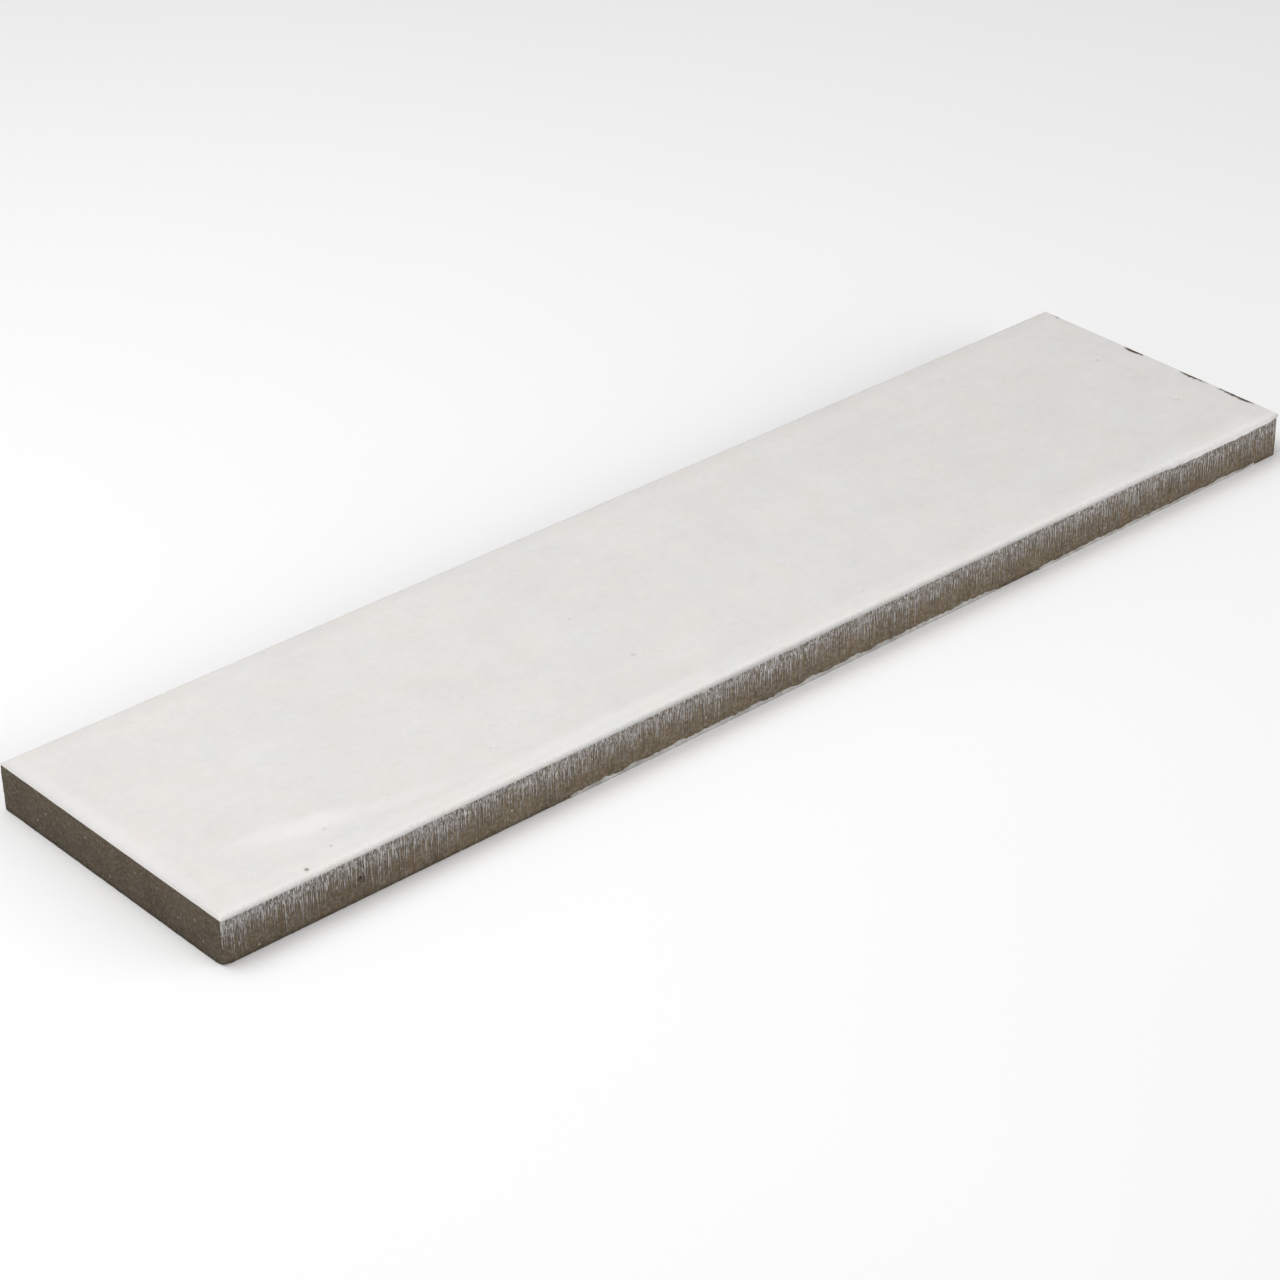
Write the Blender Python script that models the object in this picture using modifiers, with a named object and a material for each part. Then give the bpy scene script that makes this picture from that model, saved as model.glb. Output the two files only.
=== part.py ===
"""A long, narrow glazed wall tile, as separate solids: the pressed stoneware body with its waffle
back, the white slip and the glaze fired onto its face, the slip that ran down both long edges, and
the kiln wash on its ribs.

Metres, +Z up. The tile lies on its back: the origin is the middle of the back, +X runs along the
tile, and the front long edge faces -Y. Run it with: blender --background --python part.py
"""

import math
import random

import bmesh
import bpy
from mathutils import Matrix

MM = 0.001
ON_PLANE = 1e-6  # how near two heights or points must be to count as the same

# Driving dimensions of the whole tile, coats and wash included.
TILE_LENGTH = 246.0 * MM
TILE_WIDTH = 60.0 * MM
TILE_THICKNESS = 9.5 * MM

# Each coat's own thickness, and the gap that keeps fused layers separate solids.
GLAZE_THICKNESS = 0.50 * MM
SLIP_THICKNESS = 0.25 * MM
RUN_THICKNESS = 0.15 * MM
WASH_THICKNESS = 0.15 * MM
LAYER_GAP = 0.10 * MM

# The rounded arris of the glaze, which is also the radius of the tile's upright corners.
ARRIS_RADIUS = 0.8 * MM
ARRIS_SHARE = 0.95  # the most of the glaze rim's height that the arris may round off
ARRIS_SEGMENTS = 5
SMALLEST_ARRIS = 0.05 * MM
BACK_CHAMFER = 0.35 * MM

# The waffle back: pockets pressed between a rim and cross ribs. An even count leaves a rib at x = 0.
POCKET_COLUMNS = 14
POCKET_ROWS = 3
POCKET_DEPTH = 0.8 * MM
POCKET_CORNER = 1.5 * MM
RIM_WIDTH = 3.5 * MM
RIB_WIDTH = 2.6 * MM
WASH_MARGIN = 0.3 * MM  # bare clay left between the wash and the edge of a rib

# Slip that ran down the long edges: a band with tongues of uneven length.
RUN_PITCH = 3.0 * MM
RUN_WIDTH = 1.5 * MM
RUN_BAND = 1.2 * MM
RUN_SHORTEST = 0.3 * MM
RUN_LONGEST = 4.2 * MM
RUN_WANDER = 0.6  # how much of the free room beside a tongue its place may use
RUN_TONGUE = ((0.0, 0.0), (0.25, 0.7), (0.5, 1.0), (0.75, 0.7), (1.0, 0.0))  # shares of width and fall
RUN_SEEDS = {"front": 3, "back": 8}

# Where the wash crept up the front edge: each stretch's start and end, back from the right-hand end.
WASH_LIPS = ((176.0 * MM, 76.0 * MM), (65.0 * MM, 6.0 * MM))
LIP_LOWEST = 0.55 * MM
LIP_HIGHEST = 1.15 * MM
LIP_STEP = 2.5 * MM
LIP_END = 0.3 * MM  # how high a lip still stands where it begins and ends
LIP_LAP = 0.05 * MM  # how far the wash runs in under the lip
LIP_SEED = 5

# Heights and widths that follow from the sizes above.
SLIP_INSET = GLAZE_THICKNESS + LAYER_GAP
SLIP_TOP = TILE_THICKNESS - SLIP_INSET
GLAZE_BOTTOM = SLIP_TOP - SLIP_THICKNESS
GLAZE_ARRIS = min(ARRIS_RADIUS, ARRIS_SHARE * (TILE_THICKNESS - GLAZE_BOTTOM))
SLIP_ARRIS = max(GLAZE_ARRIS - SLIP_INSET, SMALLEST_ARRIS)
BODY_TOP = GLAZE_BOTTOM - LAYER_GAP
BODY_BOTTOM = WASH_THICKNESS + LAYER_GAP
BODY_WIDTH = TILE_WIDTH - 2 * (RUN_THICKNESS + LAYER_GAP)

PLUMB = Matrix.Rotation(math.pi / 2, 4, "X")  # stands a flat outline up, facing -Y


def clear_scene():
    for old in list(bpy.data.objects):
        bpy.data.objects.remove(old, do_unlink=True)


def new_collection(name):
    made = bpy.data.collections.new(name)
    bpy.context.scene.collection.children.link(made)
    return made


def ceramic(name, colour, roughness):
    """A fired surface: its colour and how far it is from gloss."""
    material = bpy.data.materials.new(name)
    material.use_nodes = True
    shader = material.node_tree.nodes["Principled BSDF"]
    shader.inputs["Base Color"].default_value = (*colour, 1.0)
    shader.inputs["Roughness"].default_value = roughness
    shader.inputs["Metallic"].default_value = 0.0
    return material


def add_object(name, mesh, collection, material=None):
    obj = bpy.data.objects.new(name, mesh)
    collection.objects.link(obj)
    if material:
        mesh.materials.append(material)
    return obj


def helper(name, mesh, collection):
    """A cutter, or a piece that is joined to another: never part of the tile by itself."""
    obj = add_object(name, mesh, collection)
    obj.hide_render = True
    obj.display_type = "WIRE"
    return obj


def mesh_from(bm, name):
    bmesh.ops.recalc_face_normals(bm, faces=bm.faces)
    mesh = bpy.data.meshes.new(name)
    bm.to_mesh(mesh)
    bm.free()
    return mesh


def add_box(bm, low, high):
    """A box from corner low to corner high. Returns its vertices."""
    size = [b - a for a, b in zip(low, high)]
    middle = [(a + b) / 2 for a, b in zip(low, high)]
    place = Matrix.Translation(middle) @ Matrix.Diagonal((*size, 1.0))
    return bmesh.ops.create_cube(bm, size=1.0, matrix=place)["verts"]


def centred_box(bm, length, width, bottom, top):
    return add_box(bm, (-length / 2, -width / 2, bottom), (length / 2, width / 2, top))


def edges_of(bm, verts, wanted):
    """The edges of these vertices whose two ends pass the test."""
    chosen = set(verts)
    return [e for e in bm.edges if set(e.verts) <= chosen and wanted(*(v.co for v in e.verts))]


def is_upright(a, b):
    return abs(a.z - b.z) > abs(a.x - b.x) + abs(a.y - b.y)


def clear_of(bottom):
    """A test for the edges that don't lie in the plane of this bottom."""
    return lambda a, b: max(a.z, b.z) > bottom + ON_PLANE


def round_edges(bm, edges, radius, segments=ARRIS_SEGMENTS):
    bmesh.ops.bevel(bm, geom=edges, offset=radius, segments=segments, profile=0.5, affect="EDGES")


def glaze_cap(material, collection):
    """The glaze: an open cap with a rounded arris, hung over the slip's edge and thickened inwards."""
    bm = bmesh.new()
    box = centred_box(bm, TILE_LENGTH, TILE_WIDTH, GLAZE_BOTTOM, TILE_THICKNESS)
    round_edges(bm, edges_of(bm, box, clear_of(GLAZE_BOTTOM)), GLAZE_ARRIS)
    base = [f for f in bm.faces if all(v.co.z < GLAZE_BOTTOM + ON_PLANE for v in f.verts)]
    bmesh.ops.delete(bm, geom=base, context="FACES")
    glaze = add_object("glaze_coat", mesh_from(bm, "glaze_coat"), collection, material)
    shell = glaze.modifiers.new("thickness", "SOLIDIFY")
    shell.thickness = GLAZE_THICKNESS
    shell.offset = -1.0
    shell.use_even_offset = True
    return glaze


def slip_layer(material, collection):
    """The slip: an even white layer over the body, rounded to lie inside the glaze's rim."""
    bm = bmesh.new()
    length, width = TILE_LENGTH - 2 * SLIP_INSET, TILE_WIDTH - 2 * SLIP_INSET
    plate = centred_box(bm, length, width, GLAZE_BOTTOM, SLIP_TOP)
    round_edges(bm, edges_of(bm, plate, clear_of(GLAZE_BOTTOM)), SLIP_ARRIS)
    return add_object("slip_coat", mesh_from(bm, "slip_coat"), collection, material)


def pocket_places():
    """(middle x, middle y, length, width) of each pocket on the back."""
    room_x = TILE_LENGTH - 2 * RIM_WIDTH - (POCKET_COLUMNS - 1) * RIB_WIDTH
    room_y = BODY_WIDTH - 2 * RIM_WIDTH - (POCKET_ROWS - 1) * RIB_WIDTH
    length, width = room_x / POCKET_COLUMNS, room_y / POCKET_ROWS
    for column in range(POCKET_COLUMNS):
        for row in range(POCKET_ROWS):
            x = (column - (POCKET_COLUMNS - 1) / 2) * (length + RIB_WIDTH)
            y = (row - (POCKET_ROWS - 1) / 2) * (width + RIB_WIDTH)
            yield x, y, length, width


def pocket_cutter(name, grown, bottom, top, collection):
    """Every pocket as one cutter, each side moved out by grown."""
    bm = bmesh.new()
    for x, y, length, width in pocket_places():
        half_x, half_y = length / 2 + grown, width / 2 + grown
        box = add_box(bm, (x - half_x, y - half_y, bottom), (x + half_x, y + half_y, top))
        round_edges(bm, edges_of(bm, box, is_upright), POCKET_CORNER + grown, segments=2)
    return helper(name, mesh_from(bm, name), collection)


def boolean(obj, operation, other):
    modifier = obj.modifiers.new(operation.lower() + "_" + other.name, "BOOLEAN")
    modifier.operation = operation
    modifier.object = other
    modifier.solver = "EXACT"


def stoneware_body(material, collection, cutters):
    """The pressed body: a slab with its corners rounded, its back arris bevelled and the waffle cut in."""
    bm = bmesh.new()
    slab = centred_box(bm, TILE_LENGTH, BODY_WIDTH, BODY_BOTTOM, BODY_TOP)
    round_edges(bm, edges_of(bm, slab, is_upright), ARRIS_RADIUS)
    back_arris = [e for e in bm.edges if all(v.co.z < BODY_BOTTOM + ON_PLANE for v in e.verts)]
    round_edges(bm, back_arris, BACK_CHAMFER, segments=1)
    body = add_object("stoneware_body", mesh_from(bm, "stoneware_body"), collection, material)
    pockets = pocket_cutter("body_pockets", 0.0, -BODY_BOTTOM, BODY_BOTTOM + POCKET_DEPTH, cutters)
    boolean(body, "DIFFERENCE", pockets)
    return body


def upright_sheet(name, outline, outer_y, facing, collection):
    """A flat outline in x and z, stood up as a sheet with its outer face at outer_y. The front faces -1."""
    curve = bpy.data.curves.new(name, "CURVE")
    curve.dimensions = "2D"
    curve.fill_mode = "BOTH"
    curve.extrude = RUN_THICKNESS / 2
    spline = curve.splines.new("POLY")
    spline.points.add(len(outline) - 1)
    for point, (x, z) in zip(spline.points, outline):
        point.co = (x, z, 0.0, 1.0)
    spline.use_cyclic_u = True
    flat = bpy.data.objects.new(name, curve)
    collection.objects.link(flat)
    flat.matrix_world = Matrix.Translation((0, outer_y - facing * RUN_THICKNESS / 2, 0)) @ PLUMB
    bpy.context.view_layer.update()
    evaluated = flat.evaluated_get(bpy.context.evaluated_depsgraph_get())
    bm = bmesh.new()
    bm.from_mesh(evaluated.to_mesh())
    evaluated.to_mesh_clear()
    bmesh.ops.transform(bm, matrix=flat.matrix_world, verts=bm.verts)
    bmesh.ops.remove_doubles(bm, verts=bm.verts, dist=ON_PLANE)
    bpy.data.objects.remove(flat, do_unlink=True)
    return mesh_from(bm, name)


def edge_runs(side, facing, material, collection):
    """Slip down one long edge: a band just under the glaze, with pointed tongues hanging from it."""
    chance = random.Random(RUN_SEEDS[side])
    top = GLAZE_BOTTOM - LAYER_GAP
    band = top - RUN_BAND
    reach = TILE_LENGTH / 2 - ARRIS_RADIUS - LAYER_GAP
    count = round(2 * reach / RUN_PITCH)
    pitch = 2 * reach / count
    outline = [(reach, top), (-reach, top), (-reach, band)]
    wander = RUN_WANDER * (pitch - RUN_WIDTH) / 2
    for number in range(count):
        middle = -reach + (number + 0.5) * pitch + chance.uniform(-wander, wander)
        fall = chance.triangular(RUN_SHORTEST, RUN_LONGEST, RUN_SHORTEST)
        for across, down in RUN_TONGUE:
            outline.append((middle + (across - 0.5) * RUN_WIDTH, band - down * fall))
    outline.append((reach, band))
    name = side + "_edge_runs"
    sheet = upright_sheet(name, outline, facing * TILE_WIDTH / 2, facing, collection)
    return add_object(name, sheet, collection, material)


def lip_outline(start, end, chance):
    """The ragged upper line of the wash along one stretch of the front edge, over its flat foot."""
    steps = round((end - start) / LIP_STEP)
    outline = [(end, 0.0), (start, 0.0)]
    for number in range(steps + 1):
        height = chance.uniform(LIP_LOWEST, LIP_HIGHEST) if 0 < number < steps else LIP_END
        outline.append((start + (end - start) * number / steps, height))
    return outline


def kiln_wash(material, collection, cutters):
    """The wash on the rim and the ribs, one lattice, with the lips that crept up the front edge."""
    bm = bmesh.new()
    inset = BACK_CHAMFER + WASH_MARGIN
    plate = centred_box(bm, TILE_LENGTH - 2 * inset, BODY_WIDTH - 2 * inset, 0.0, WASH_THICKNESS)
    round_edges(bm, edges_of(bm, plate, is_upright), ARRIS_RADIUS)
    wash = add_object("kiln_wash", mesh_from(bm, "kiln_wash"), collection, material)
    boolean(wash, "DIFFERENCE", pocket_cutter("wash_pockets", WASH_MARGIN, -BODY_TOP, BODY_TOP, cutters))
    chance = random.Random(LIP_SEED)
    front = -TILE_WIDTH / 2
    for number, stretch in enumerate(WASH_LIPS, 1):
        start, end = (TILE_LENGTH / 2 - back_from_end for back_from_end in stretch)
        name = f"wash_lip_{number}"
        upright = upright_sheet(name, lip_outline(start, end, chance), front, -1, cutters)
        lip = helper(name, upright, cutters)
        bm = bmesh.new()
        behind = -BODY_WIDTH / 2 + inset + WASH_MARGIN
        add_box(bm, (start, front + LIP_LAP, 0.0), (end, behind, WASH_THICKNESS))
        name = f"wash_foot_{number}"
        boolean(lip, "UNION", helper(name, mesh_from(bm, name), cutters))
        boolean(wash, "UNION", lip)
    return wash


def build():
    clear_scene()
    tile = new_collection("glazed_wall_tile")
    cutters = new_collection("cutters")
    clay = ceramic("stoneware", (0.115, 0.092, 0.066), 0.85)
    slip = ceramic("white_slip", (0.72, 0.70, 0.67), 0.6)
    glaze = ceramic("glaze", (0.78, 0.76, 0.73), 0.2)
    run = ceramic("run_slip", (0.36, 0.34, 0.31), 0.7)
    wash = ceramic("wash", (0.55, 0.54, 0.51), 0.9)
    stoneware_body(clay, tile, cutters)
    slip_layer(slip, tile)
    glaze_cap(glaze, tile)
    edge_runs("front", -1, run, tile)
    edge_runs("back", 1, run, tile)
    kiln_wash(wash, tile, cutters)


build()
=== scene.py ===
import math
import random

import bmesh
import bpy
import numpy as np
from mathutils import Matrix, Vector, noise


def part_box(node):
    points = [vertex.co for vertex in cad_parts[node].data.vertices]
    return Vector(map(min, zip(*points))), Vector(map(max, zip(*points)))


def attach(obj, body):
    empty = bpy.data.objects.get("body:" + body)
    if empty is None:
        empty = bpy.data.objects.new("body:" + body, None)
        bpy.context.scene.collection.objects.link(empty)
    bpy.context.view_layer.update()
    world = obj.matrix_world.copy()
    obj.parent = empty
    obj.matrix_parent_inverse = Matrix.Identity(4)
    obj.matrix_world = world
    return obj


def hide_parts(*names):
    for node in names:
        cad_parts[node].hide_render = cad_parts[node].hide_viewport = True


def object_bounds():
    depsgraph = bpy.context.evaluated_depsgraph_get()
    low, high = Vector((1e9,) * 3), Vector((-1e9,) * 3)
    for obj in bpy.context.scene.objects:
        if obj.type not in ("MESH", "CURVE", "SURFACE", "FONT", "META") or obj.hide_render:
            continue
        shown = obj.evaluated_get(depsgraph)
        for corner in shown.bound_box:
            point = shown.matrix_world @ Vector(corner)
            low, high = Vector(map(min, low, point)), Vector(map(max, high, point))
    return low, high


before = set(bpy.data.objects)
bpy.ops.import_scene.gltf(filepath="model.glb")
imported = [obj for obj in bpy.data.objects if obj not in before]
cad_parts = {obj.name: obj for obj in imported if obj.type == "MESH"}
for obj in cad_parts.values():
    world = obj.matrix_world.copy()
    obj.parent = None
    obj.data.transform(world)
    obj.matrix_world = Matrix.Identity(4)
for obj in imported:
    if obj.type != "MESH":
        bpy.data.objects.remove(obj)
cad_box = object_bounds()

MM = 0.001

# --- The stoneware body ---------------------------------------------------------------------------
# Clay granules pressed in a steel die and fired hard. The sides are bare: olive brown, matte and
# full of fine grains, with a waffle pressed into the back and a slightly crumbled lower arris.

body_low, body_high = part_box("stoneware_body")
tile_low, tile_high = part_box("glaze_coat")
wash_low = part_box("kiln_wash")[0]
half_length = tile_high.x
FOOT = wash_low.z + 0.02 * MM
CORNER_RADIUS = 0.32 * MM
WALL_STEP = 0.3 * MM
ARRIS_ROUND = 0.12 * MM
ARRIS_ROWS = 4
CLAY = (0.154, 0.118, 0.077)
CLAY_DARK = (0.104, 0.078, 0.048)
CLAY_RED = (0.150, 0.104, 0.068)
CLAY_PALE = (0.34, 0.31, 0.25)
GRAIN_DULL = (0.30, 0.29, 0.27)
GRAIN_BRIGHT = (0.48, 0.46, 0.42)
GRAIN_DARK = (0.036, 0.028, 0.020)
# Painted shade for the bottoms of the pits in the front side.
PIT_SHADE = (0.024, 0.018, 0.013)
SLIP_FILM = (0.52, 0.51, 0.52)


def wobble(x, y, z, size):
    """Smooth noise from -1 to 1 whose lumps are about this size."""
    return noise.noise(Vector((x, y, z)) / size)


def walk_round(half_x, half_y, radius, step):
    """Points and outward directions round a rounded rectangle, anticlockwise from above."""
    places = []
    corners = [(1, -1, -90), (1, 1, 0), (-1, 1, 90), (-1, -1, 180)]
    turns = max(3, round(radius * math.pi / 2 / step))
    for number, (side_x, side_y, start) in enumerate(corners):
        middle = Vector((side_x * (half_x - radius), side_y * (half_y - radius)))
        for turn in range(turns + 1):
            angle = math.radians(start + 90 * turn / turns)
            out = Vector((math.cos(angle), math.sin(angle)))
            places.append((middle + radius * out, out))
        run = 2 * ((half_y if number % 2 == 0 else half_x) - radius)
        cells = round(run / step)
        along = Vector((-out.y, out.x))
        last = places[-1][0]
        for cell in range(1, cells):
            places.append((last + along * run * cell / cells, out))
    return places


def piece_from(name, points, faces):
    mesh = bpy.data.meshes.new(name)
    mesh.from_pydata([tuple(p) for p in points], [], faces)
    mesh.update()
    mesh.shade_smooth()
    made = bpy.data.objects.new(name, mesh)
    bpy.context.scene.collection.objects.link(made)
    return made


def paint(piece, name, values):
    """One number a vertex, for the piece's material to read."""
    layer = piece.data.attributes.new(name, "FLOAT", "POINT")
    layer.data.foreach_set("value", np.asarray(values, np.float32))


class Finish:
    """A material and the nodes that make it."""

    def __init__(self, name, roughness, specular=0.5):
        self.material = bpy.data.materials.new(name)
        self.material.use_nodes = True
        self.tree = self.material.node_tree
        self.shader = self.tree.nodes["Principled BSDF"]
        self.shader.inputs["Specular IOR Level"].default_value = specular
        self.shader.inputs["Roughness"].default_value = roughness
        self.place = self.node("ShaderNodeTexCoord").outputs["Object"]

    def node(self, kind, sockets=None, **settings):
        made = self.tree.nodes.new(kind)
        for name, value in settings.items():
            setattr(made, name, value)
        for name, value in (sockets or {}).items():
            if isinstance(value, bpy.types.NodeSocket):
                self.tree.links.new(value, made.inputs[name])
            else:
                made.inputs[name].default_value = value
        return made

    def scaled(self, size, stretch=(1.0, 1.0, 1.0)):
        """The place on the tile, in lumps of this size."""
        scale = tuple(1.0 / (size * s) for s in stretch)
        return self.node("ShaderNodeMapping", {"Vector": self.place, "Scale": scale}).outputs[0]

    def grain(self, size, detail=3.0, rough=0.55, stretch=(1.0, 1.0, 1.0), warp=0.0):
        """Noise from 0 to 1 with lumps of about this size, stretched along an axis if asked."""
        made = self.node(
            "ShaderNodeTexNoise",
            {"Vector": self.scaled(size, stretch), "Scale": 1.0, "Detail": detail,
             "Roughness": rough, "Distortion": warp},
        )
        return made.outputs[0]

    def specks(self, size, radius):
        """1 at the heart of a scattered grain and 0 outside it."""
        cells = self.node("ShaderNodeTexVoronoi", {"Vector": self.scaled(size), "Scale": 1.0})
        return self.span(cells.outputs["Distance"], radius, radius * 0.4)

    def net(self, size, stretch, width):
        """1 along the threads of an uneven net and 0 in its holes."""
        cells = self.node(
            "ShaderNodeTexVoronoi",
            {"Vector": self.scaled(size, stretch), "Scale": 1.0},
            feature="DISTANCE_TO_EDGE",
        )
        return self.span(cells.outputs["Distance"], width, width * 0.25)

    def span(self, value, from_low, from_high, to_low=0.0, to_high=1.0, smooth=False):
        """The value carried from one range to another, and held at the ends."""
        made = self.node(
            "ShaderNodeMapRange",
            {"Value": value, "From Min": from_low, "From Max": from_high, "To Min": to_low,
             "To Max": to_high},
            interpolation_type="SMOOTHSTEP" if smooth else "LINEAR",
        )
        return made.outputs[0]

    def sum(self, operation, first, second):
        return self.node("ShaderNodeMath", {0: first, 1: second}, operation=operation).outputs[0]

    def mix(self, share, first, second, kind="MIX"):
        """A colour between two colours, or the first multiplied by the second."""
        colours = [(*c, 1.0) if isinstance(c, tuple) else c for c in (first, second)]
        made = self.node(
            "ShaderNodeMix", {0: share, 6: colours[0], 7: colours[1]}, data_type="RGBA", blend_type=kind
        )
        return made.outputs[2]

    def painted(self, name):
        return self.node("ShaderNodeAttribute", attribute_name=name).outputs["Fac"]

    def part(self, axis):
        return self.node("ShaderNodeSeparateXYZ", {0: self.place}).outputs[axis]

    def colour(self, socket):
        self.tree.links.new(socket, self.shader.inputs["Base Color"])

    def roughness(self, socket):
        self.tree.links.new(socket, self.shader.inputs["Roughness"])

    def bump(self, height, depth, under=None):
        sockets = {"Height": height, "Distance": depth, "Strength": 1.0}
        if under:
            sockets["Normal"] = under
        made = self.node("ShaderNodeBump", sockets)
        self.tree.links.new(made.outputs[0], self.shader.inputs["Normal"])
        return made.outputs[0]


def clay_colour(finish):
    """Fired clay: cloudy olive and red-brown, darker at the near end, and with painted shade darkening it
    at the foot and along the lower arris.
    """
    cloud = finish.span(finish.grain(6 * MM, 4.0, 0.65), 0.32, 0.68)
    base = finish.mix(cloud, CLAY_DARK, CLAY)
    blotch = finish.span(finish.grain(2.4 * MM, 3.0, 0.6), 0.45, 0.70, 0.0, 0.8)
    base = finish.mix(blotch, base, CLAY_RED)
    fine = finish.span(finish.grain(0.46 * MM, 2.0), 0.44, 0.74, 0.0, 0.48)
    base = finish.mix(fine, base, CLAY_PALE)
    dull = finish.sum("MULTIPLY", finish.specks(1.2 * MM, 0.10), 0.40)
    base = finish.mix(dull, base, GRAIN_DULL)
    bright = finish.sum("MULTIPLY", finish.specks(2.6 * MM, 0.10), 0.85)
    base = finish.mix(bright, base, GRAIN_BRIGHT)
    dark = finish.sum("MULTIPLY", finish.specks(1.2 * MM, 0.14), 0.62)
    base = finish.mix(dark, base, GRAIN_DARK)
    # Painted shade: the clay darkens towards the foot, and further along the lower arris as a painted
    # contact shadow with the table.
    foot = finish.span(finish.part("Z"), 0.0, body_high.z, 0.82, 1.03)
    painted_contact_shadow = finish.span(finish.part("Z"), 0.2 * MM, 1.1 * MM, 0.70, 1.0, smooth=True)
    foot = finish.sum("MULTIPLY", foot, painted_contact_shadow)
    end = finish.span(finish.part("X"), -half_length, -half_length * 0.45, 0.76, 1.0, smooth=True)
    shade = finish.sum("MULTIPLY", foot, end)
    grey = finish.node("ShaderNodeCombineColor", {0: shade, 1: shade, 2: shade}).outputs[0]
    return finish.mix(1.0, base, grey, kind="MULTIPLY")


def fired_clay():
    """The bare body, with slip dragged over its long sides in a net that breaks up into hairs."""
    finish = Finish("fired_clay", 0.85, specular=0.25)
    base = clay_colour(finish)
    below = finish.span(finish.part("Z"), body_high.z, FOOT)
    patchy = finish.span(finish.grain(5 * MM, 3.0, 0.6, stretch=(1.0, 30.0, 30.0)), 0.3, 0.7, -0.13, 0.13)
    depth = finish.sum("ADD", below, patchy)
    streaks = finish.grain(0.24 * MM, 3.0, 0.65, stretch=(1.0, 30.0, 14.0), warp=0.25)
    need = finish.span(depth, 0.0, 0.85, 0.44, 0.66)
    drag = finish.span(finish.sum("SUBTRACT", streaks, need), 0.0, 0.07)
    mesh = finish.net(0.38 * MM, (1.0, 30.0, 2.4), 0.15)
    mesh = finish.sum("MULTIPLY", mesh, finish.span(depth, 0.14, 0.40, 1.0, 0.0, smooth=True))
    mesh = finish.sum("MULTIPLY", mesh, finish.span(finish.grain(0.5 * MM, 2.0), 0.38, 0.58))
    film = finish.sum("MAXIMUM", drag, mesh)
    film = finish.sum("MULTIPLY", film, finish.painted("long_side"))
    # Painted shadow: the film stops just under the glaze's edge, leaving a strip of bare clay where the
    # glaze's overhang casts shade.
    painted_shadow_gap = finish.span(below, 0.005, 0.045)
    film = finish.sum("MULTIPLY", film, painted_shadow_gap)
    fade = finish.span(below, 0.05, 1.0, 0.85, 0.30)
    colour = finish.mix(finish.sum("MULTIPLY", film, fade), base, SLIP_FILM)
    # Painted shade: each pit in the front side is darkened towards its bottom.
    colour = finish.mix(finish.sum("MULTIPLY", finish.painted("pit_shade"), 0.8), colour, PIT_SHADE)
    finish.colour(colour)
    rough = finish.bump(finish.grain(0.5 * MM, 5.0, 0.7), 0.06 * MM)
    finish.bump(film, 0.05 * MM, under=rough)
    return finish.material


def rounded_box(middle_x, middle_y, half_x, half_y, radius, turns=4):
    """Points round a small rounded rectangle, anticlockwise from above."""
    points = []
    for side_x, side_y, start in ((1, -1, -90), (1, 1, 0), (-1, 1, 90), (-1, -1, 180)):
        for turn in range(turns + 1):
            angle = math.radians(start + 90 * turn / turns)
            x = middle_x + side_x * (half_x - radius) + radius * math.cos(angle)
            y = middle_y + side_y * (half_y - radius) + radius * math.sin(angle)
            points.append((x, y))
    return points


POCKET_COLUMNS = 14
POCKET_ROWS = 3
POCKET_DEPTH = 0.8 * MM
POCKET_DRAFT = 0.35 * MM
POCKET_CORNER = 1.5 * MM
RIM_WIDTH = 3.5 * MM
RIB_WIDTH = 2.6 * MM


def pockets(grown):
    """The outline of each pocket in the back, moved out by grown."""
    size = body_high - body_low
    length = (size.x - 2 * RIM_WIDTH - (POCKET_COLUMNS - 1) * RIB_WIDTH) / POCKET_COLUMNS
    width = (size.y - 2 * RIM_WIDTH - (POCKET_ROWS - 1) * RIB_WIDTH) / POCKET_ROWS
    for column in range(POCKET_COLUMNS):
        for row in range(POCKET_ROWS):
            x = (column - (POCKET_COLUMNS - 1) / 2) * (length + RIB_WIDTH)
            y = (row - (POCKET_ROWS - 1) / 2) * (width + RIB_WIDTH)
            yield rounded_box(x, y, length / 2 + grown, width / 2 + grown, POCKET_CORNER + grown)


# Pits in the front side, as (x, z, radius, depth).
PITS = (
    (-96.0 * MM, 3.9 * MM, 0.50 * MM, 0.50 * MM),
    (-103.0 * MM, 7.3 * MM, 0.34 * MM, 0.30 * MM),
    (93.0 * MM, 3.2 * MM, 0.40 * MM, 0.25 * MM),
)
DEEPEST_PIT = 0.5 * MM
CHIPPED_CORNER = Vector((-half_length, body_low.y, 0.0))
CORNER_CHIP = 1.8 * MM
CORNER_DEPTH = 0.3 * MM
CORNER_LIFT = 0.25 * MM
CRUMBLE_HEIGHT = 0.8 * MM
CRUMBLE_DEPTH = 0.10 * MM
GRIT_DEPTH = 0.02 * MM
SCRATCH_DEPTH = 0.018 * MM
# A point whose outward direction has at least this share along Y is on a long side.
LONG_SIDE = 0.7


def pit_share(x, z, out):
    """1 at the bottom of a pit in the front side, 0 away from them all."""
    if out.y > -LONG_SIDE:
        return 0.0
    return max(
        math.exp(-((x - pit_x) ** 2 + (z - pit_z) ** 2) / radius ** 2) * depth / DEEPEST_PIT
        for pit_x, pit_z, radius, depth in PITS
    )


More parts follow.
